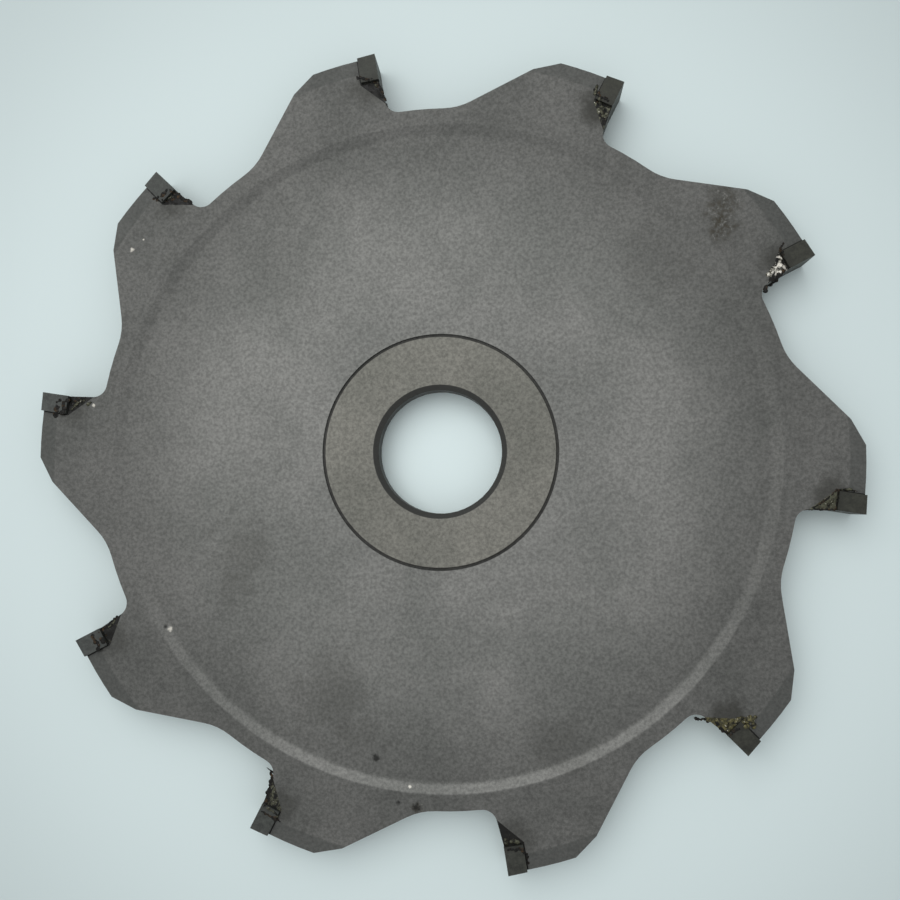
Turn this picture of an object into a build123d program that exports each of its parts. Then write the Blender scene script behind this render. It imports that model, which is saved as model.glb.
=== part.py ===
from build123d import *

import os
from math import atan2, cos, degrees, isclose, radians, sin, tan

# Ten-tooth circular saw blade with carbide tips, for cutting metal.
# The bore runs along Z and the middle of the thickness lies on the XY plane. The cutting edge
# of the first tooth is on +Y, and the teeth point clockwise as seen from +Z.

# Blade
cutting_diameter = 200.0
kerf = 10.0
tooth_count = 10
bore_diameter = 30.0
bore_chamfer = 1.2

# Clamping hub, raised a little above the web on both sides, with a thin groove round it
hub_thickness = 7.0
hub_groove_diameter = 56.6
hub_groove_width = 0.8
hub_groove_depth = 0.5

# Recessed web, and the step that rises from it to the rim
web_thickness = 6.4
web_diameter = 156.4
web_step_width = 2.7
web_corner_radius = 2.0
rim_edge_radius = 1.0

# Rim, bevelled on both sides towards the teeth
rim_thickness = 8.0
rim_bevel_width = 3.8
rim_bevel_drop = 0.25

# Gullets
gullet_depth = 15.3
gullet_face_lean = 6.5
gullet_front_radius = 3.4
gullet_back_radius = 15.0

# Back of each tooth: a land, a facet behind its heel, and a straight slope to the gullet
land_angle = 9.3
heel_facet_length = 6.9
heel_facet_angle = 37.5
back_slope_angle = 53.0

# Carbide tips
tip_length = 6.5
tip_thickness = 4.5
tip_projection = 0.3
tip_relief_angle = 3.5
tip_radial_clearance = 1.0
tip_side_clearance = 1.5

# Braze, a thin layer behind and below each tip and a wedge in the corner under it
braze_gap = 0.3
braze_wedge_depth = 6.7
braze_wedge_reach = 1.5

cutting_radius = cutting_diameter / 2
steel_radius = cutting_radius - tip_projection
floor_radius = cutting_radius - gullet_depth
bore_radius = bore_diameter / 2
web_radius = web_diameter / 2
rim_radius = web_radius + web_step_width
groove_inner_radius = hub_groove_diameter / 2 - hub_groove_width / 2
groove_outer_radius = hub_groove_diameter / 2 + hub_groove_width / 2
pitch_angle = 360 / tooth_count
overshoot = gullet_depth


def along(angle):
    """The direction at an angle above +X, in degrees."""
    return Vector(cos(radians(angle)), sin(radians(angle)))


def angle_behind(point):
    """How far round the bore a point lies behind the cutting edge ahead of it, in degrees."""
    return degrees(atan2(-point.X, point.Y)) % pitch_angle


def stands_like(vertex, foot):
    """Whether a vertex lies where some tooth has the foot that the first tooth has there."""
    same_radius = isclose(Vector(vertex).length, foot.length, abs_tol=0.001)
    return same_radius and isclose(angle_behind(vertex), angle_behind(foot), abs_tol=0.01)


def crossing(start, direction, radius):
    """Where a line that runs down from start first meets a circle round the bore."""
    nearest = -start.dot(direction)
    half_chord = (radius**2 - start.dot(start) + nearest**2) ** 0.5
    return start + direction * (nearest - half_chord)


# Tip, seen along the bore
tip_foot = cutting_radius - tip_length
tip_heel = cutting_radius - tip_thickness * tan(radians(tip_relief_angle))
tip_corners = [
    (0, cutting_radius),
    (0, tip_foot),
    (-tip_thickness, tip_foot),
    (-tip_thickness, tip_heel),
]

# Seat, a braze gap behind and below the tip, open to the gullet in front of it
seat_wall = -tip_thickness - braze_gap
seat_floor = tip_foot - braze_gap
seat_corners = [
    (seat_wall, cutting_radius + overshoot),
    (seat_wall, seat_floor),
    (braze_wedge_reach, seat_floor - braze_wedge_depth),
    (braze_wedge_reach, cutting_radius + overshoot),
]

# Tooth, from inside the gullet floor to outside the rim
face_top = Vector(0, seat_floor)
face_down = along(gullet_face_lean - 90)
land_end = along(90 + land_angle) * steel_radius
heel_out = along(heel_facet_angle)
shoulder = land_end - heel_out * heel_facet_length
back_down = along(back_slope_angle - 180)
tooth_corners = [
    face_top + face_down * (seat_floor - floor_radius + overshoot),
    face_top,
    Vector(0, cutting_radius + overshoot),
    land_end + heel_out * overshoot,
    shoulder,
    shoulder + back_down * 2 * overshoot,
]
face_foot = crossing(face_top, face_down, floor_radius)
back_foot = crossing(shoulder, back_down, floor_radius)

# Side of the tip on +Z, which falls away towards the bore and towards the back of the tooth
side_slope = Vector(-tan(radians(tip_side_clearance)), -tan(radians(tip_radial_clearance)), 1)
tip_side = Plane(origin=(0, cutting_radius, kerf / 2), z_dir=side_slope)


# Turned blank, before any tooth is milled
with BuildPart() as blank:
    with BuildSketch(Plane.XZ) as section:
        with BuildLine():
            Polyline(
                (bore_radius, 0),
                (bore_radius, hub_thickness / 2 - bore_chamfer),
                (bore_radius + bore_chamfer, hub_thickness / 2),
                (groove_inner_radius, hub_thickness / 2),
                (groove_inner_radius, web_thickness / 2 - hub_groove_depth),
                (groove_outer_radius, web_thickness / 2 - hub_groove_depth),
                (groove_outer_radius, web_thickness / 2),
                (web_radius, web_thickness / 2),
                (rim_radius, rim_thickness / 2),
                (steel_radius - rim_bevel_width, rim_thickness / 2),
                (steel_radius, rim_thickness / 2 - rim_bevel_drop),
                (steel_radius, 0),
            )
            mirror(about=Plane.XZ)
        make_face()
        step_feet = section.vertices().filter_by(lambda v: isclose(v.X, web_radius))
        fillet(step_feet, web_corner_radius)
        step_tops = section.vertices().filter_by(lambda v: isclose(v.X, rim_radius))
        fillet(step_tops, rim_edge_radius)
    revolve(axis=Axis.Z)


# Outline of the teeth and gullets, with the tips' seats still filled
with BuildSketch() as outline:
    Circle(floor_radius)
    with PolarLocations(0, tooth_count):
        Polygon(*tooth_corners, align=None)
    for foot, radius in ((back_foot, gullet_back_radius), (face_foot, gullet_front_radius)):
        corners = outline.vertices().filter_by(lambda v: stands_like(v, foot))
        fillet(corners, radius)


with BuildPart() as blade_body:
    add(blank.part)
    add(outline.sketch)
    extrude(amount=kerf, both=True, mode=Mode.INTERSECT)
    with BuildSketch():
        with PolarLocations(0, tooth_count):
            Polygon(*seat_corners, align=None)
    extrude(amount=kerf, both=True, mode=Mode.SUBTRACT)


with BuildPart() as first_tip:
    with BuildSketch():
        Polygon(*tip_corners, align=None)
    extrude(amount=kerf)
    split(bisect_by=tip_side, keep=Keep.BOTTOM)
    mirror(about=Plane.XY)


with BuildPart() as first_braze:
    with BuildSketch():
        add(outline.sketch)
        Polygon(*seat_corners, align=None, mode=Mode.INTERSECT)
        Polygon(*tip_corners, align=None, mode=Mode.SUBTRACT)
    extrude(amount=kerf, both=True)
    add(blank.part, mode=Mode.INTERSECT)


os.makedirs("parts", exist_ok=True)
blade_body.part.label = "blade_body"
export_step(blade_body.part, "parts/blade_body.step")

for number in range(tooth_count):
    for name, first in (("carbide_tip", first_tip), ("braze", first_braze)):
        with BuildPart() as piece:
            add(first.part, rotation=(0, 0, -number * pitch_angle))
        piece.part.label = f"{name}_{number + 1:02}"
        export_step(piece.part, f"parts/{piece.part.label}.step")
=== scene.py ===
import random
from math import cos, hypot, radians, sin, tau

import bmesh
import bpy
from bpy.props import FloatProperty, FloatVectorProperty, IntProperty, PointerProperty
from mathutils import Matrix, Vector


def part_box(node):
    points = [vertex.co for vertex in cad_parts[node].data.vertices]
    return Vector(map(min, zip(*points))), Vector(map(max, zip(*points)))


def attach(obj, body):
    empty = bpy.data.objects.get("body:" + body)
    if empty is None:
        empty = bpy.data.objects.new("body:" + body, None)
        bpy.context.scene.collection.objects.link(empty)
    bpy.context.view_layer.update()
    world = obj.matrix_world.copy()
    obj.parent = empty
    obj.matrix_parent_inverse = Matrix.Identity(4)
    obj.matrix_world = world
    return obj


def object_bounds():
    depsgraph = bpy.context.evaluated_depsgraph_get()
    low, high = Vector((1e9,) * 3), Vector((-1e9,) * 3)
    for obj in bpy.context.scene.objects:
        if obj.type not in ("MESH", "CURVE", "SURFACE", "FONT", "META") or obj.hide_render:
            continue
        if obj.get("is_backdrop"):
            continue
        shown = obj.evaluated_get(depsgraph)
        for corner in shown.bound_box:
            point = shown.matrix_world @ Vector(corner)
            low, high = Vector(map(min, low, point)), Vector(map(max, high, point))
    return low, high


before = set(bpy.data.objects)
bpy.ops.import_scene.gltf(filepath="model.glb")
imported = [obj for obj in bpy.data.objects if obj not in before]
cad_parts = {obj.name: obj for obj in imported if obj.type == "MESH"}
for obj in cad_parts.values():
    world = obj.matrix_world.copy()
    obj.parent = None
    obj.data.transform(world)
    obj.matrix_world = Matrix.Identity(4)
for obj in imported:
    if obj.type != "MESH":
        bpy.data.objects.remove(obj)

bl_info = {
    "name": "Tipped Saw Blade",
    "version": (1, 0, 0),
    "blender": (4, 5, 0),
    "location": "View3D > Sidebar > Saw Blade",
    "description": "Finishes a carbide-tipped circular saw blade and sets its stage",
    "category": "Object",
}

MM = 0.001

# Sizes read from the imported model, in metres
CAD_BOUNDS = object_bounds()
TIP_LOW, TIP_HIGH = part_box("carbide_tip_01")
TOOTH_COUNT = sum(name.startswith("carbide_tip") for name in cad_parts)
CUTTING_RADIUS = TIP_HIGH.y
HALF_KERF = TIP_HIGH.z
RIM_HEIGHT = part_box("blade_body")[1].z

# Sizes that the boxes of its pieces don't give
STEEL_RADIUS = CUTTING_RADIUS - 0.3 * MM
BEVEL_WIDTH = 3.8 * MM
BEVEL_START = STEEL_RADIUS - BEVEL_WIDTH
BEVEL_DROP = 0.25 * MM
WEB_RADIUS = 78.2 * MM
STEP_WIDTH = 2.7 * MM
HUB_RADIUS = 28.3 * MM
BORE_RADIUS = 15.0 * MM
TIP_SIDE_FALL = 0.1 * MM

# Marks on both faces of the blade: degrees clockwise from the first tooth, then distance from the
# bore and size in millimetres. A smudge also has how strongly it shows.
SMUDGES = (
    (254, 54, 11, 0.30),
    (246, 60, 6, 0.22),
    (213, 63, 12, 0.28),
    (205, 70, 7, 0.20),
    (167, 74, 9, 0.24),
    (58, 69, 12, 0.16),
    (57.5, 89.5, 5, 0.55),
    (61, 86, 7, 0.3),
    (327, 62, 16, 0.10),
)
DARK_SPECKS = (
    (201, 74.5, 1.1),
    (193, 84.1, 1.4),
    (196, 83.4, 0.8),
    (247, 79.4, 0.7),
)
PALE_SPECKS = (
    (312.7, 92.6, 0.7),
    (246.1, 78.7, 0.8),
    (194.3, 79.6, 0.5),
    (287.1, 87, 0.5),
    (315, 91.6, 0.4),
)
RUST_PATCHES = ((58.5, 89, 6.5), (61, 85.5, 4.5), (193, 84.1, 1.8))

# Where the step gets a painted highlight and a smoother surface, in degrees clockwise from the first tooth
STEP_HIGHLIGHT_ANGLE = 189

# Where the tips are dark olive, partly their own tone and partly painted shade, given the same way
OLIVE_AND_SHADE_ANGLE = 90

# Stain on the steel round each joint: where its middle is on the first tooth, in millimetres,
# and how strongly it shows on each tooth
JOINT_MIDDLE = (-3.4, 91.8, 0)
JOINT_STAINS = {
    1: 0.5, 2: 0.75, 3: 0.6, 4: 0.6, 5: 0.65,
    6: 0.4, 7: 0.45, 8: 0.4, 9: 0.35, 10: 0.4,
}

# Strokes of flux crust on each tooth: width, then points in millimetres in the frame of the
# first tooth, where x runs the way the tooth cuts and y away from the bore
FLUX_STROKES = {
    1: (
        (0.9, (-5.3, 95.4), (-3.4, 94.2), (-1.2, 93.5), (-0.2, 92.0)),
        (0.9, (-0.2, 92.0), (0.1, 90.3), (0.6, 88.3)),
    ),
    2: (
        (1.0, (-5.6, 95.6), (-4.2, 94.6), (-1.4, 94.2)),
        (1.3, (-2.6, 93.0), (-1.6, 91.4), (-0.4, 89.4)),
        (0.7, (-4.0, 93.4), (-2.9, 92.2)),
    ),
    3: (
        (0.7, (-5.9, 95.2), (-5.2, 93.9), (-3.6, 93.6), (-1.9, 93.2)),
        (1.3, (-0.3, 93.0), (0.1, 91.0), (0.2, 89.2)),
        (1.1, (1.0, 87.0), (1.7, 86.2)),
    ),
    4: (
        (0.45, (-4.9, 93.4), (-0.3, 93.4)),
        (0.55, (-4.9, 93.1), (-2.2, 91.1), (0.3, 88.2)),
        (0.5, (-0.1, 93.0), (0.5, 88.6)),
        (0.5, (-5.1, 97.6), (-4.9, 94.0)),
    ),
    5: (
        (1.0, (-2.9, 94.4), (-0.5, 93.6)),
        (0.8, (-0.3, 93.2), (0.1, 91.4)),
        (0.7, (0.7, 88.4), (2.4, 86.0)),
    ),
    6: (
        (0.9, (-5.0, 97.9), (-4.8, 95.8), (-4.0, 94.6)),
        (0.9, (-3.2, 94.4), (-0.6, 94.3)),
        (0.8, (-3.4, 92.6), (-0.4, 91.8)),
    ),
    7: (
        (0.9, (-5.4, 95.6), (-0.5, 95.2)),
        (0.9, (-0.7, 94.4), (0.0, 91.2), (0.6, 88.4)),
        (0.9, (0.7, 88.0), (1.6, 86.6)),
    ),
    8: (
        (1.7, (-4.5, 95.6), (-0.9, 95.4)),
        (1.3, (-3.4, 94.2), (-1.4, 92.9)),
        (0.6, (-0.8, 94.0), (0.0, 91.0), (0.5, 88.6)),
    ),
    9: (
        (1.6, (-5.6, 96.0), (-1.2, 95.7)),
        (1.3, (-4.2, 94.4), (-1.4, 93.9)),
        (0.8, (-2.2, 92.8), (-0.4, 91.4), (0.2, 89.4)),
    ),
    10: (
        (1.1, (-5.1, 95.9), (-4.6, 94.9), (-1.2, 94.7)),
        (0.7, (-4.0, 94.0), (-3.2, 92.6), (-1.4, 92.2)),
        (1.1, (-0.9, 94.2), (-0.4, 91.4), (0.4, 88.6)),
    ),
}

# Runs of bare braze on each tooth, written the same way
BRAZE_STROKES = {
    1: ((0.6, (-1.2, 92.7), (-0.7, 92.1)),),
    2: ((0.9, (-3.6, 94.0), (-2.2, 92.3), (-0.8, 90.4)), (0.7, (-5.6, 97.0), (-5.2, 94.6))),
    3: ((1.1, (-2.2, 91.9), (-1.5, 90.0), (-0.7, 88.4)), (0.8, (-3.4, 93.1), (-1.6, 92.2))),
    4: ((0.6, (-5.3, 96.4), (-5.0, 94.4)), (0.7, (-2.4, 92.6), (-1.0, 91.5))),
    5: (
        (1.5, (-7.2, 95.4), (-5.4, 94.2), (-3.2, 92.9)),
        (1.2, (-5.8, 96.6), (-4.6, 95.2)),
        (1.3, (-2.0, 92.2), (-0.8, 90.0), (0.6, 88.0)),
    ),
    6: ((1.0, (-3.1, 92.9), (-1.6, 92.4)), (0.8, (-1.0, 93.0), (-0.4, 92.2))),
    7: ((0.7, (-4.6, 94.4), (-3.0, 94.0), (-1.2, 94.0)),),
    8: ((0.5, (-0.9, 91.6), (0.0, 89.4)),),
    9: ((0.7, (-3.2, 92.4), (-1.4, 91.2), (-0.6, 89.6)), (0.9, (-1.3, 88.3), (-0.7, 88.0))),
    10: ((0.5, (-2.6, 93.3), (-1.8, 93.2)),),
}

# How lumps are strewn along a stroke: spacing and scatter as shares of its width, and the least
# and most that a lump is of the full size
LUMP_SPACING = 0.3
LUMP_SCATTER = 0.3
LUMP_SIZES = (0.5, 1.3)
LUMP_HALF_HEIGHT = 0.35 * MM

# The runs of braze draw other numbers than the flux does
BRAZE_SEED_SHIFT = 50

# The burr, in the frame of the first tooth
BURR_TOOTH = 7
BURR_ROOT = (1.4, 86.5, 3.3)
BURR_LENGTH = 3.4 * MM


def linear(red, green, blue):
    """The shader colour that renders as an 8-bit screen colour, by the sRGB curve."""
    return tuple(((level / 255 + 0.055) / 1.055) ** 2.4 for level in (red, green, blue))


def clock_place(angle, radius):
    """A point on the blade, at an angle in degrees clockwise from the first tooth."""
    return Vector((radius * sin(radians(angle)), radius * cos(radians(angle)), 0))


def tooth_turn(number):
    """Turns the first tooth's frame to that of a numbered tooth."""
    return Matrix.Rotation(-tau * (number - 1) / TOOTH_COUNT, 4, "Z")


def face_height(x, y):
    """Height of the blade's side at a place on the first tooth, over the middle of its thickness."""
    if TIP_LOW.x < x < TIP_HIGH.x and y > TIP_LOW.y:
        return HALF_KERF - TIP_SIDE_FALL
    past_bevel = hypot(x, y) - BEVEL_START
    return RIM_HEIGHT - BEVEL_DROP * max(0, min(1, past_bevel / BEVEL_WIDTH))


# Materials


class Finish:
    """A material under construction, whose patterns read the piece's own coordinates."""

    def __init__(self, name, metallic, roughness):
        self.material = bpy.data.materials.new(name)
        self.material.use_nodes = True
        self.tree = self.material.node_tree
        self.shader = self.tree.nodes["Principled BSDF"]
        self.shader.inputs["Metallic"].default_value = metallic
        self.shader.inputs["Roughness"].default_value = roughness
        coordinates = self.tree.nodes.new("ShaderNodeTexCoord")
        self.place = coordinates.outputs["Object"]
        self.normal = coordinates.outputs["Normal"]

    def feed(self, socket, value):
        """Links a socket to another node's output, or gives it a plain value."""
        if isinstance(value, bpy.types.NodeSocket):
            self.tree.links.new(value, socket)
        else:
            socket.default_value = value

    def node(self, kind, inputs, output=0, **settings):
        """Adds a node, sets and feeds it, and gives back one of its outputs."""
        made = self.tree.nodes.new("ShaderNode" + kind)
        for key, value in settings.items():
            setattr(made, key, value)
        for key, value in inputs.items():
            self.feed(made.inputs[key], value)
        return made.outputs[output]

    def math(self, operation, first, second=0.0):
        return self.node("Math", {0: first, 1: second}, operation=operation)

    def times(self, value, factor):
        return self.math("MULTIPLY", value, factor)

    def rest_of(self, share):
        """What a share leaves of the whole."""
        return self.math("SUBTRACT", 1.0, share)

    def noise(self, size, detail=3.0, roughness=0.55, distortion=0.0, shift=(0, 0, 0)):
        """Noise whose features are about that size in metres."""
        place = self.node("VectorMath", {0: self.place, 1: shift}, operation="ADD")
        inputs = {
            "Vector": place,
            "Scale": 1 / size,
            "Detail": detail,
            "Roughness": roughness,
            "Distortion": distortion,
        }
        return self.node("TexNoise", inputs)

    def ease(self, value, low, high, start=0.0, end=1.0):
        """Goes smoothly from start to end while value goes from low to high."""
        inputs = {"Value": value, "From Min": low, "From Max": high, "To Min": start, "To Max": end}
        return self.node("MapRange", inputs, interpolation_type="SMOOTHSTEP")

    def mix(self, share, first, second, blend_type="MIX"):
        """Mixes two colours."""
        colours = [c if isinstance(c, bpy.types.NodeSocket) else (*c, 1.0) for c in (first, second)]
        inputs = {0: share, 6: colours[0], 7: colours[1]}
        return self.node("Mix", inputs, 2, data_type="RGBA", blend_type=blend_type)

    def shade(self, colour, factor):
        """A colour made lighter or darker by a factor."""
        grey = self.node("CombineColor", {0: factor, 1: factor, 2: factor})
        return self.mix(1.0, colour, grey, "MULTIPLY")

    def flat_place(self):
        """The place on the piece with its height left out."""
        return self.node("VectorMath", {0: self.place, 1: (1, 1, 0)}, operation="MULTIPLY")

    def radius(self):
        """Distance from the axis of the bore."""
        return self.node("VectorMath", {0: self.flat_place()}, "Value", operation="LENGTH")

    def towards(self, angle):
        """Distance from the bore towards an angle, in degrees clockwise from the first tooth."""
        inputs = {0: self.place, 1: clock_place(angle, 1)}
        return self.node("VectorMath", inputs, "Value", operation="DOT_PRODUCT")

    def upright(self):
        """1 on the flat faces of the blade and 0 on walls that run along the bore."""
        height = self.node("SeparateXYZ", {0: self.normal}, 2)
        return self.ease(self.math("ABSOLUTE", height), 0.5, 0.9)

    def spot(self, centre, size, ragged, raggedness):
        """A patch on both faces of the blade, whose edge a noise makes ragged."""
        inputs = {0: self.flat_place(), 1: centre}
        away = self.node("VectorMath", inputs, "Value", operation="DISTANCE")
        shift = self.times(self.math("SUBTRACT", ragged, 0.5), raggedness)
        return self.ease(self.math("ADD", away, shift), size * 0.25, size, 1.0, 0.0)

    def mark(self, angle, distance, size, ragged, raggedness=1.6):
        """A ragged patch given as the marks are, its raggedness as a share of its size."""
        centre = clock_place(angle, distance * MM)
        return self.spot(centre, size * MM, ragged, raggedness * size * MM)

    def bump(self, height, depth, strength=1.0):
        """Gives the surface relief of that depth in metres."""
        inputs = {"Height": height, "Distance": depth, "Strength": strength}
        self.feed(self.shader.inputs["Normal"], self.node("Bump", inputs))

    def finished(self, colour, roughness=None):
        """Feeds the colour and, where it varies, the roughness, and gives back the material."""
        self.feed(self.shader.inputs["Base Color"], colour)
        if roughness is not None:
            self.feed(self.shader.inputs["Roughness"], roughness)
        return self.material


def blasted_tone(steel, look, mottle, grain):
    """The steel's own grey, clouded, mottled and grained."""
    clouds = steel.noise(32 * MM, 4.0, 0.6, 0.4)
    colour = steel.mix(steel.ease(clouds, 0.32, 0.68), look.dark_steel, look.light_steel)
    colour = steel.shade(colour, steel.ease(mottle, 0.25, 0.75, 0.9, 1.1))
    return steel.shade(colour, steel.ease(grain, 0.25, 0.75, 0.72, 1.28))


def painted_step_highlight(steel, radius):
    """The part of the step between web and rim that gets a painted highlight, on one side of the blade only.
    """
    step_middle = WEB_RADIUS + 0.6 * STEP_WIDTH
    from_step = steel.math("ABSOLUTE", steel.math("SUBTRACT", radius, step_middle))
    step = steel.ease(from_step, 0.25 * STEP_WIDTH, 0.6 * STEP_WIDTH, 1.0, 0.0)
    side = steel.ease(steel.towards(STEP_HIGHLIGHT_ANGLE), 20 * MM, WEB_RADIUS)
    return steel.times(step, side)


def tint_rings(steel, look, colour, radius, highlit):
    """Tints the hub, darkens the rim and paints a highlight on one side of the step."""
    hub = steel.ease(radius, HUB_RADIUS - 0.3 * MM, HUB_RADIUS, 1.0, 0.0)
    colour = steel.mix(steel.times(hub, 0.55), colour, look.hub_tint, "MULTIPLY")
    rim = steel.ease(radius, WEB_RADIUS - 28 * MM, WEB_RADIUS + 6 * MM)
    colour = steel.shade(colour, steel.rest_of(steel.times(rim, look.rim_darkening)))
    # Painted highlight: brightens one side of the step
    return steel.shade(colour, steel.ease(highlit, 0.0, 1.0, 1.0, look.step_highlight))


def stain_steel(steel, look, colour):
    """Adds the smudges, the stains round the joints, the rust and the specks."""
    torn = steel.noise(7 * MM, 5.0, 0.65, 0.6, (0.3, 0.1, 0))
    for angle, distance, size, strength in SMUDGES:
        patch = steel.mark(angle, distance, size, torn, 2.2)
        colour = steel.mix(steel.times(patch, strength * look.smudge_strength), colour, look.smudge)
    for number, strength in JOINT_STAINS.items():
        joint = tooth_turn(number) @ (Vector(JOINT_MIDDLE) * MM)
        patch = steel.spot(joint, 6 * MM, torn, 8 * MM)
        colour = steel.mix(steel.times(patch, strength), colour, look.burnt_steel)

    fine = steel.noise(0.9 * MM, 2.0, 0.6)
    rust = steel.noise(1.3 * MM, 4.0, 0.7, 0.3, (0.1, 0.2, 0))
    for angle, distance, size in RUST_PATCHES:
        patch = steel.mark(angle, distance, size, torn)
        dark = steel.times(patch, steel.ease(rust, 0.42, 0.6, 0.0, 0.6))
        colour = steel.mix(dark, colour, look.rust)
        pale = steel.times(patch, steel.ease(rust, 0.32, 0.42, 0.2, 0.0))
        colour = steel.mix(pale, colour, look.bare_metal)
    for specks, share, tone in ((DARK_SPECKS, 0.8, look.flux), (PALE_SPECKS, 0.65, look.bare_metal)):
        for angle, distance, size in specks:
            patch = steel.mark(angle, distance, size, fine)
            colour = steel.mix(steel.times(patch, share), colour, tone)
    return colour


def darken_edges(steel, look, colour, radius):
    """Darkens the bevel and paints shade on the walls of the gullets, on the bore with its chamfer and in the
    hub's groove.
    """
    bevel = steel.ease(radius, BEVEL_START - 0.2 * MM, BEVEL_START + 0.3 * MM)
    colour = steel.mix(steel.times(bevel, 0.4), colour, look.bevel)
    # Painted shade on the walls of the gullets
    wall_shade = steel.rest_of(steel.upright())
    colour = steel.mix(steel.times(wall_shade, 0.7), colour, look.wall_shade)
    # Painted shade on the bore and its chamfer
    bore = steel.ease(radius, BORE_RADIUS + 1.15 * MM, BORE_RADIUS + 1.3 * MM, 1.0, 0.0)
    colour = steel.mix(steel.times(bore, 0.85), colour, look.wall_shade)
    # Painted shade in the hub's groove, in the black of the flux
    from_groove = steel.math("ABSOLUTE", steel.math("SUBTRACT", radius, HUB_RADIUS))
    groove_shade = steel.ease(from_groove, 0.3 * MM, 0.45 * MM, 1.0, 0.0)
    return steel.mix(steel.times(groove_shade, 0.75), colour, look.flux)


def blade_finish(look):
    """Dull blasted steel, with a darker rim and bevel, stains, specks and a tinted hub, painted shade on the
    walls, the bore and the hub's groove, and a painted highlight on one side of the step.
    """
    steel = Finish("blasted_steel", 0.6, 0.6)
    radius = steel.radius()
    mottle = steel.noise(5 * MM, 4.0, 0.65)
    grain = steel.noise(0.75 * MM, 3.0, 0.7)
    # Mask of the painted highlight on one side of the step; the roughness is also lowered there
    highlit = painted_step_highlight(steel, radius)

    colour = blasted_tone(steel, look, mottle, grain)
    colour = tint_rings(steel, look, colour, radius, highlit)
    colour = stain_steel(steel, look, colour)
    colour = darken_edges(steel, look, colour, radius)

    relief = steel.math("ADD", grain, steel.times(mottle, 0.6))
    steel.bump(relief, 0.05 * MM, 0.6)
    dullness = steel.ease(mottle, 0.3, 0.7, 0.56, 0.68)
    return steel.finished(colour, steel.math("SUBTRACT", dullness, steel.times(highlit, 0.2)))


def carbide_finish(look):
    """Ground carbide, grey to dark olive round the blade, partly the tips' own tone and partly painted shade,
    and darker towards its joint.
    """
    carbide = Finish("ground_carbide", 0.5, 0.5)
    # Grey to dark olive across the blade: partly the tips' own tone, partly painted shade
    olive_and_shade = carbide.ease(carbide.towards(OLIVE_AND_SHADE_ANGLE), -110 * MM, 50 * MM)
    dirt = carbide.noise(1.6 * MM, 4.0, 0.7)
    grain = carbide.noise(0.3 * MM, 3.0, 0.7)
    colour = carbide.mix(olive_and_shade, look.carbide, look.carbide_olive_shade)
    colour = carbide.shade(colour, carbide.ease(dirt, 0.3, 0.7, 0.6, 1.3))
    colour = carbide.shade(colour, carbide.ease(grain, 0.3, 0.7, 0.85, 1.15))
    foot = carbide.ease(carbide.radius(), TIP_LOW.y, TIP_LOW.y + 2 * MM, 0.65, 0.0)
    colour = carbide.mix(carbide.times(foot, dirt), colour, look.flux)
    carbide.bump(grain, 0.02 * MM, 0.5)
    return carbide.finished(colour, carbide.ease(dirt, 0.3, 0.7, 0.48, 0.66))


def braze_finish(look, name, bare_share, bright, seated=True):
    """Braze metal, showing through burnt flux over the given share of its surface.

    Seated braze is burnt black where it lies beside the tip.
    """
    braze = Finish(name, 0.6, 0.4)
    tarnish = braze.noise(0.8 * MM, 3.0, 0.6)
    glint = braze.noise(0.45 * MM, 2.0, 0.6, 0.3, (0.2, 0, 0.1))
    crust = braze.noise(1.4 * MM, 4.0, 0.7, 0.5, (0, 0.4, 0))
    colour = braze.mix(braze.ease(tarnish, 0.35, 0.65), look.braze_dull, bright)
    colour = braze.mix(braze.ease(glint, 0.66, 0.74), colour, look.bare_metal)
    edge = 0.32 + 0.36 * bare_share
    burnt = braze.ease(crust, edge - 0.06, edge + 0.06)
    if seated:
        beside_tip = braze.ease(braze.radius(), TIP_LOW.y - 0.2 * MM, TIP_LOW.y + 0.3 * MM)
        burnt = braze.math("MAXIMUM", burnt, beside_tip)
    colour = braze.mix(burnt, colour, look.flux)
    braze.feed(braze.shader.inputs["Metallic"], braze.times(braze.rest_of(burnt), 0.6))
    braze.shader.inputs["Specular IOR Level"].default_value = 0.25
    braze.bump(braze.math("ADD", tarnish, crust), 0.12 * MM, 0.8)
    return braze.finished(colour, braze.ease(crust, 0.35, 0.7, 0.3, 0.75))


def flux_finish(look):
    """Burnt flux, black and brown, with a few shiny grains."""
    flux = Finish("burnt_flux", 0.0, 0.6)
    patches = flux.noise(1.1 * MM, 4.0, 0.65)
    grain = flux.noise(0.3 * MM, 2.0, 0.6)
    colour = flux.mix(flux.ease(patches, 0.5, 0.72), look.flux, look.flux_brown)
    flux.shader.inputs["Specular IOR Level"].default_value = 0.25
    flux.bump(flux.math("ADD", patches, grain), 0.1 * MM, 0.9)
    return flux.finished(colour, flux.ease(grain, 0.35, 0.6, 0.35, 0.8))


# Modelling


def deselect_all():
    """Leaves edit mode and clears the selection."""
    if bpy.context.object and bpy.context.object.mode != "OBJECT":
        bpy.ops.object.mode_set(mode="OBJECT")
    bpy.ops.object.select_all(action="DESELECT")


def give_finish(piece, material):
    """Puts one material on a whole piece."""
    piece.data.materials.clear()
    piece.data.materials.append(material)


def model_lump():
    """A blob of set metal or flux as a template: a ball pulled uneven and smoothed."""
    deselect_all()
    bpy.ops.mesh.primitive_ico_sphere_add(subdivisions=2, radius=1.0, location=(0, 0, 0))
    lump = bpy.context.object
    lump.name = "lump_template"
    bpy.ops.object.mode_set(mode="EDIT")
    bpy.ops.mesh.select_all(action="SELECT")
    bpy.ops.transform.vertex_random(offset=0.12, uniform=0.1, normal=0.6, seed=3)
    bpy.ops.mesh.vertices_smooth(factor=0.4, repeat=1)
    bpy.ops.object.mode_set(mode="OBJECT")
    template = lump.data.copy()
    bpy.data.objects.remove(lump)
    return template


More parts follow.
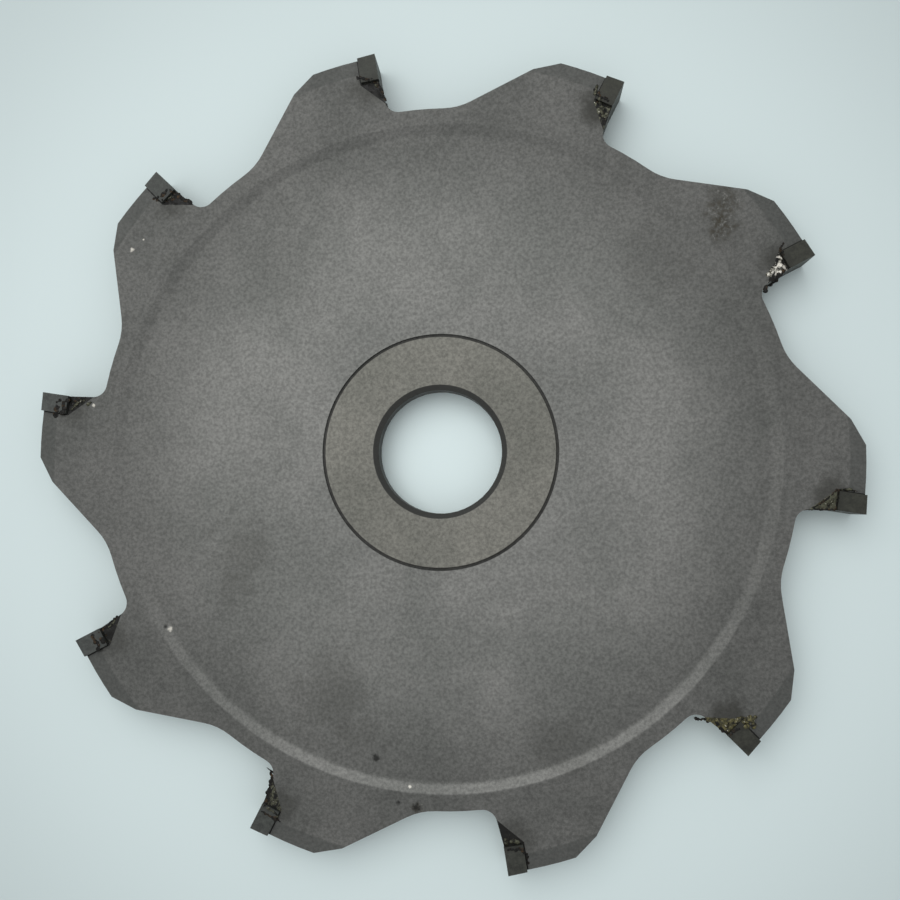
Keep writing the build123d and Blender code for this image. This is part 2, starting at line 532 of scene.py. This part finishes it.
def stamps_along(stroke, dice, rise):
    """Places for lumps along a stroke, on both faces of the first tooth."""
    width, *corners = stroke
    points = [Vector((x, y)) * MM for x, y in corners]
    for face in (1, -1):
        for start, end in zip(points, points[1:]):
            steps = max(1, round((end - start).length / (LUMP_SPACING * width * MM)))
            for step in range(steps + 1):
                place = start.lerp(end, step / steps)
                scatter = Vector((dice.uniform(-1, 1), dice.uniform(-1, 1)))
                place += scatter * LUMP_SCATTER * width * MM
                size = width / 2 * MM * dice.uniform(*LUMP_SIZES)
                top = min(face_height(*place) + rise * dice.uniform(0.5, 1.0), HALF_KERF)
                yield place, face * top, size, dice.uniform(0, tau)


def model_crust(name, strokes, number, template, rise, voxel, dice):
    """Fuses lumps along a tooth's strokes into one rough crust."""
    crust = bmesh.new()
    for stroke in strokes:
        for place, top, size, turn in stamps_along(stroke, dice, rise):
            first = len(crust.verts)
            crust.from_mesh(template)
            crust.verts.ensure_lookup_table()
            sunk = top - LUMP_HALF_HEIGHT if top > 0 else top + LUMP_HALF_HEIGHT
            shape = (
                tooth_turn(number)
                @ Matrix.Translation((*place, sunk))
                @ Matrix.Rotation(turn, 4, "Z")
                @ Matrix.Diagonal((size, size, LUMP_HALF_HEIGHT, 1))
            )
            for vertex in crust.verts[first:]:
                vertex.co = shape @ vertex.co
    mesh = bpy.data.meshes.new(name)
    crust.to_mesh(mesh)
    crust.free()
    piece = bpy.data.objects.new(name, mesh)
    bpy.context.collection.objects.link(piece)

    deselect_all()
    piece.select_set(True)
    bpy.context.view_layer.objects.active = piece
    fuse = piece.modifiers.new("fuse", "REMESH")
    fuse.mode = "VOXEL"
    fuse.voxel_size = voxel
    bpy.ops.object.modifier_apply(modifier=fuse.name)
    settle = piece.modifiers.new("settle", "SMOOTH")
    settle.iterations = 2
    bpy.ops.object.modifier_apply(modifier=settle.name)
    bpy.ops.object.shade_smooth()
    return piece


def add_crusts(kind, strokes_by_tooth, rise, seed, voxel, finish_of):
    """Models one crust a tooth, each from its own random draws, and lets it ride on the blade."""
    template = model_lump()
    for number, strokes in strokes_by_tooth.items():
        dice = random.Random(seed + number)
        piece = model_crust(f"{kind}_{number:02}", strokes, number, template, rise, voxel, dice)
        give_finish(piece, finish_of(number))
        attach(piece, "root")
    bpy.data.meshes.remove(template)


def model_burr():
    """A thin burnt sliver that stands out of the gullet in front of one tooth."""
    deselect_all()
    bpy.ops.mesh.primitive_cone_add(
        vertices=10,
        radius1=0.55 * MM,
        radius2=0.05 * MM,
        depth=BURR_LENGTH,
        location=(0, 0, BURR_LENGTH / 2),
    )
    burr = bpy.context.object
    burr.name = f"burr_{BURR_TOOTH:02}"
    bpy.ops.object.mode_set(mode="EDIT")
    bpy.ops.mesh.select_all(action="SELECT")
    bpy.ops.mesh.subdivide(number_cuts=5)
    bpy.ops.transform.vertex_random(offset=0.09 * MM, uniform=0.3, seed=7)
    bpy.ops.object.mode_set(mode="OBJECT")
    lie = Matrix.Rotation(radians(94), 4, "Y")
    flatten = Matrix.Diagonal((1, 0.7, 0.45, 1))
    swing = Matrix.Rotation(radians(-7), 4, "Z")
    stand = Matrix.Translation(Vector(BURR_ROOT) * MM)
    burr.data.transform(tooth_turn(BURR_TOOTH) @ stand @ swing @ flatten @ lie)
    burr.matrix_world = Matrix.Identity(4)
    bpy.ops.object.shade_smooth()
    return burr


# Settings


def colour_setting(name, description, *levels):
    """A colour whose default is given in 8-bit screen levels."""
    return FloatVectorProperty(
        name=name,
        description=description,
        subtype="COLOR",
        size=3,
        min=0,
        max=1,
        default=linear(*levels),
    )


class SawBladeLook(bpy.types.PropertyGroup):
    """Colours and strengths of the blade's finishes."""

    light_steel: colour_setting("Light steel", "Steel where it is palest", 131, 131, 127)
    dark_steel: colour_setting("Dark steel", "Steel where it is darkest", 116, 117, 113)
    burnt_steel: colour_setting("Burnt steel", "Stain round the brazed joints", 46, 46, 40)
    rust: colour_setting("Rust", "Dull brown of the rust", 60, 55, 42)
    # Painted highlight: how much brighter one side of the step is painted
    step_highlight: FloatProperty(
        name="Step polish",
        description="Brightness of the step where it is rubbed",
        default=1.15,
        min=0,
        max=2,
        subtype="FACTOR",
    )
    hub_tint: colour_setting("Hub tint", "Tint that the hub is multiplied by", 244, 240, 226)
    smudge: colour_setting("Smudge", "Colour of the stains", 62, 62, 57)
    bevel: colour_setting("Bevel", "Colour of the bevel behind the teeth", 70, 73, 70)
    # Painted shade for the walls of the gullets and of the bore
    wall_shade: colour_setting("Wall", "Colour of the bore and of the gullets' walls", 62, 62, 60)
    carbide: colour_setting("Carbide", "Grey of the palest tips", 75, 78, 75)
    # Dark olive end of the tips' gradient, partly their own tone and partly painted shade
    carbide_olive_shade: colour_setting("Olive carbide", "Dark olive of the darkest tips", 57, 58, 51)
    braze: colour_setting("Braze", "Bright braze metal", 108, 103, 70)
    braze_grey: colour_setting("Grey braze", "Braze metal dulled to an olive grey", 94, 95, 80)
    braze_dull: colour_setting("Dull braze", "Tarnished braze metal", 66, 65, 52)
    bare_metal: colour_setting("Bare metal", "Bright nicks and glints", 236, 232, 220)
    flux: colour_setting("Flux", "Black of the burnt flux", 18, 18, 15)
    flux_brown: colour_setting("Brown flux", "Brown of the thinner flux", 74, 56, 34)
    smudge_strength: FloatProperty(
        name="Smudge strength",
        description="How strongly all smudges show",
        default=1.0,
        min=0,
        max=1.5,
        subtype="FACTOR",
    )
    rim_darkening: FloatProperty(
        name="Rim darkening",
        description="How much darker the rim is than the web",
        default=0.38,
        min=0,
        max=1,
        subtype="FACTOR",
    )


class SawBladeCrust(bpy.types.PropertyGroup):
    """Sizes of the flux crust and of the braze that has run out of the joints."""

    flux_rise: FloatProperty(
        name="Flux rise", description="Height of the flux over the steel", default=0.22 * MM, unit="LENGTH"
    )
    braze_rise: FloatProperty(
        name="Braze rise", description="Height of the braze over the steel", default=0.45 * MM, unit="LENGTH"
    )
    voxel: FloatProperty(
        name="Voxel", description="Size of the cells that fuse the lumps", default=0.13 * MM, unit="LENGTH"
    )
    seed: IntProperty(name="Seed", description="Start of the random draws", default=11)


class SawBladeStage(bpy.types.PropertyGroup):
    """Floor, lamp, sky and camera."""

    floor: colour_setting("Floor", "Colour of the floor", 220, 234, 233)
    floor_size: FloatProperty(
        name="Floor size", description="Side of the square floor", default=6.0, unit="LENGTH"
    )
    # Painted shade on the floor far from the blade
    floor_corner_shade: FloatProperty(
        name="Floor corner", description="Brightness of the floor far from the blade", default=0.76
    )
    # Painted light on the floor under the bore
    floor_middle_light: FloatProperty(
        name="Floor middle", description="Brightness of the floor under the bore", default=1.2
    )
    sky: colour_setting("Sky", "Colour of the light from all round", 250, 252, 255)
    sky_strength: FloatProperty(name="Sky strength", description="Strength of the sky", default=0.58)
    lamp_power: FloatProperty(
        name="Lamp power", description="Power of the lamp", default=2.8, unit="POWER"
    )
    lamp_size: FloatProperty(
        name="Lamp size", description="Side of the square lamp", default=0.75, unit="LENGTH"
    )
    lamp_distance: FloatProperty(
        name="Lamp distance", description="From the bore to the lamp", default=0.75, unit="LENGTH"
    )
    lamp_azimuth: FloatProperty(
        name="Lamp azimuth", description="Direction of the lamp", default=radians(114), subtype="ANGLE"
    )
    lamp_elevation: FloatProperty(
        name="Lamp elevation", description="Height of the lamp", default=radians(62), subtype="ANGLE"
    )
    camera_place: FloatVectorProperty(
        name="Camera place",
        description="Where the camera stands",
        default=(16.0 * MM, -16.0 * MM, 219.4 * MM),
        subtype="TRANSLATION",
        unit="LENGTH",
    )
    camera_turn: FloatVectorProperty(
        name="Camera turn",
        description="How the camera is turned",
        default=(radians(3.576), radians(4.206), radians(-9.301)),
        subtype="EULER",
    )
    camera_lens: FloatProperty(
        name="Camera lens",
        description="Focal length of the camera, in millimetres on a sensor 36 mm wide",
        default=36.0,
        unit="CAMERA",
    )


# Operators


class SAWBLADE_OT_finish_body(bpy.types.Operator):
    """Gives the turned steel body its blasted and stained finish"""

    bl_idname = "sawblade.finish_body"
    bl_label = "Finish Blade Body"

    def execute(self, context):
        give_finish(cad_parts["blade_body"], blade_finish(context.scene.sawblade_look))
        return {"FINISHED"}


class SAWBLADE_OT_finish_tips(bpy.types.Operator):
    """Gives the ten carbide tips their ground finish"""

    bl_idname = "sawblade.finish_tips"
    bl_label = "Finish Carbide Tips"

    def execute(self, context):
        carbide = carbide_finish(context.scene.sawblade_look)
        for number in range(1, TOOTH_COUNT + 1):
            give_finish(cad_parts[f"carbide_tip_{number:02}"], carbide)
        return {"FINISHED"}


class SAWBLADE_OT_finish_braze(bpy.types.Operator):
    """Gives the braze in each joint a finish, bare or burnt as that joint is"""

    bl_idname = "sawblade.finish_braze"
    bl_label = "Finish Braze"

    def execute(self, context):
        look = context.scene.sawblade_look
        half_burnt = braze_finish(look, "braze_half_burnt", 0.4, look.braze_grey)
        mostly_burnt = braze_finish(look, "braze_mostly_burnt", 0.05, look.braze_grey)
        greyed = braze_finish(look, "braze_greyed", 0.8, look.braze_grey)
        bare = braze_finish(look, "braze_bare", 0.8, look.braze)
        silvery = braze_finish(look, "braze_silvery", 0.35, look.bare_metal)
        finishes = {2: half_burnt, 3: silvery, 4: greyed, 5: bare, 7: half_burnt}
        for number in range(1, TOOTH_COUNT + 1):
            give_finish(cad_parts[f"braze_{number:02}"], finishes.get(number, mostly_burnt))
        return {"FINISHED"}


class SAWBLADE_OT_add_flux(bpy.types.Operator):
    """Models the burnt flux that crusts over each joint"""

    bl_idname = "sawblade.add_flux"
    bl_label = "Add Flux Crusts"

    def execute(self, context):
        crust = context.scene.sawblade_crust
        burnt = flux_finish(context.scene.sawblade_look)
        add_crusts("flux_crust", FLUX_STROKES, crust.flux_rise, crust.seed, crust.voxel, lambda number: burnt)
        return {"FINISHED"}


class SAWBLADE_OT_add_braze_runs(bpy.types.Operator):
    """Models the braze that has run out of each joint and set in lumps"""

    bl_idname = "sawblade.add_braze_runs"
    bl_label = "Add Braze Runs"

    def execute(self, context):
        crust = context.scene.sawblade_crust
        look = context.scene.sawblade_look
        greyed = braze_finish(look, "greyed_braze_lumps", 0.6, look.braze_grey, seated=False)
        olive = braze_finish(look, "olive_braze_lumps", 0.6, look.braze, seated=False)
        silvery = braze_finish(look, "silvery_braze_lumps", 0.85, look.bare_metal, seated=False)
        finishes = {3: silvery, 5: olive}
        add_crusts(
            "braze_run",
            BRAZE_STROKES,
            crust.braze_rise,
            crust.seed + BRAZE_SEED_SHIFT,
            crust.voxel,
            lambda number: finishes.get(number, greyed),
        )
        return {"FINISHED"}


class SAWBLADE_OT_add_burr(bpy.types.Operator):
    """Models the burnt sliver in the gullet in front of the seventh tooth"""

    bl_idname = "sawblade.add_burr"
    bl_label = "Add Burr"

    def execute(self, context):
        burr = model_burr()
        give_finish(burr, bpy.data.materials["burnt_flux"])
        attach(burr, "root")
        return {"FINISHED"}


class SAWBLADE_OT_set_stage(bpy.types.Operator):
    """Lays a pale floor under the blade, with painted shade towards its corners and painted light under the
    bore, and sets the sky, the lamp and the camera
    """

    bl_idname = "sawblade.set_stage"
    bl_label = "Set Stage"

    def execute(self, context):
        stage = context.scene.sawblade_stage
        self.lay_floor(stage)
        self.set_sky(context.scene, stage)
        self.hang_lamp(stage)
        self.place_camera(context.scene, stage)
        context.scene.view_settings.view_transform = "Standard"
        return {"FINISHED"}

    def lay_floor(self, stage):
        deselect_all()
        bpy.ops.mesh.primitive_plane_add(size=stage.floor_size, location=(0, 0, CAD_BOUNDS[0].z))
        floor = bpy.context.object
        floor.name = "floor"
        bpy.ops.object.transform_apply(location=True)
        plain = Finish("pale_floor", 0.0, 0.7)
        tone = plain.ease(plain.noise(400 * MM, 2.0), 0.3, 0.7, 0.98, 1.02)
        # Painted shade towards the corners of the floor
        corner_shade = plain.ease(plain.radius(), 90 * MM, 190 * MM, 1.0, stage.floor_corner_shade)
        # Painted light on the floor under the bore
        middle_light = plain.ease(plain.radius(), 15 * MM, 60 * MM, stage.floor_middle_light, 1.0)
        colour = plain.shade(plain.shade(stage.floor, tone), plain.times(corner_shade, middle_light))
        give_finish(floor, plain.finished(colour))
        floor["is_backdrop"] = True

    def set_sky(self, scene, stage):
        scene.world = bpy.data.worlds.new("sky")
        scene.world.use_nodes = True
        background = scene.world.node_tree.nodes["Background"]
        background.inputs["Color"].default_value = (*stage.sky, 1.0)
        background.inputs["Strength"].default_value = stage.sky_strength

    def hang_lamp(self, stage):
        across = stage.lamp_distance * cos(stage.lamp_elevation)
        place = Vector((
            across * cos(stage.lamp_azimuth),
            across * sin(stage.lamp_azimuth),
            stage.lamp_distance * sin(stage.lamp_elevation),
        ))
        bpy.ops.object.light_add(type="AREA", location=place)
        lamp = bpy.context.object
        lamp.name = "lamp"
        lamp.data.size = stage.lamp_size
        lamp.data.energy = stage.lamp_power
        lamp.rotation_euler = (-place).to_track_quat("-Z", "Y").to_euler()

    def place_camera(self, scene, stage):
        bpy.ops.object.camera_add(location=stage.camera_place, rotation=stage.camera_turn)
        scene.camera = bpy.context.object
        scene.camera.data.sensor_fit = "HORIZONTAL"
        scene.camera.data.sensor_width = 36
        scene.camera.data.lens = stage.camera_lens
        scene.camera.data.clip_start = 0.01


class SAWBLADE_PT_sidebar(bpy.types.Panel):
    """Lists the blade's steps in the sidebar of the 3D view"""

    bl_label = "Saw Blade"
    bl_space_type = "VIEW_3D"
    bl_region_type = "UI"
    bl_category = "Saw Blade"

    def draw(self, context):
        for name, kind in SETTINGS.items():
            box = self.layout.box()
            for key in kind.__annotations__:
                box.prop(getattr(context.scene, name), key)
        for operator in OPERATORS:
            self.layout.operator(operator.bl_idname)


SETTINGS = {
    "sawblade_look": SawBladeLook,
    "sawblade_crust": SawBladeCrust,
    "sawblade_stage": SawBladeStage,
}
OPERATORS = (
    SAWBLADE_OT_finish_body,
    SAWBLADE_OT_finish_tips,
    SAWBLADE_OT_finish_braze,
    SAWBLADE_OT_add_flux,
    SAWBLADE_OT_add_braze_runs,
    SAWBLADE_OT_add_burr,
    SAWBLADE_OT_set_stage,
)
CLASSES = (*SETTINGS.values(), *OPERATORS, SAWBLADE_PT_sidebar)


def register():
    for made in CLASSES:
        bpy.utils.register_class(made)
    for name, group in SETTINGS.items():
        setattr(bpy.types.Scene, name, PointerProperty(type=group))


def unregister():
    for name in SETTINGS:
        delattr(bpy.types.Scene, name)
    for made in reversed(CLASSES):
        bpy.utils.unregister_class(made)


def main():
    """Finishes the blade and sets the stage."""
    register()
    bpy.ops.sawblade.finish_body()
    bpy.ops.sawblade.finish_tips()
    bpy.ops.sawblade.finish_braze()
    bpy.ops.sawblade.add_flux()
    bpy.ops.sawblade.add_braze_runs()
    bpy.ops.sawblade.add_burr()
    bpy.ops.sawblade.set_stage()
    sizes = {"cad": CAD_BOUNDS, "visual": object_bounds()}
    {name: [list(corner) for corner in box] for name, box in sizes.items()}


if __name__ == "__main__":
    main()
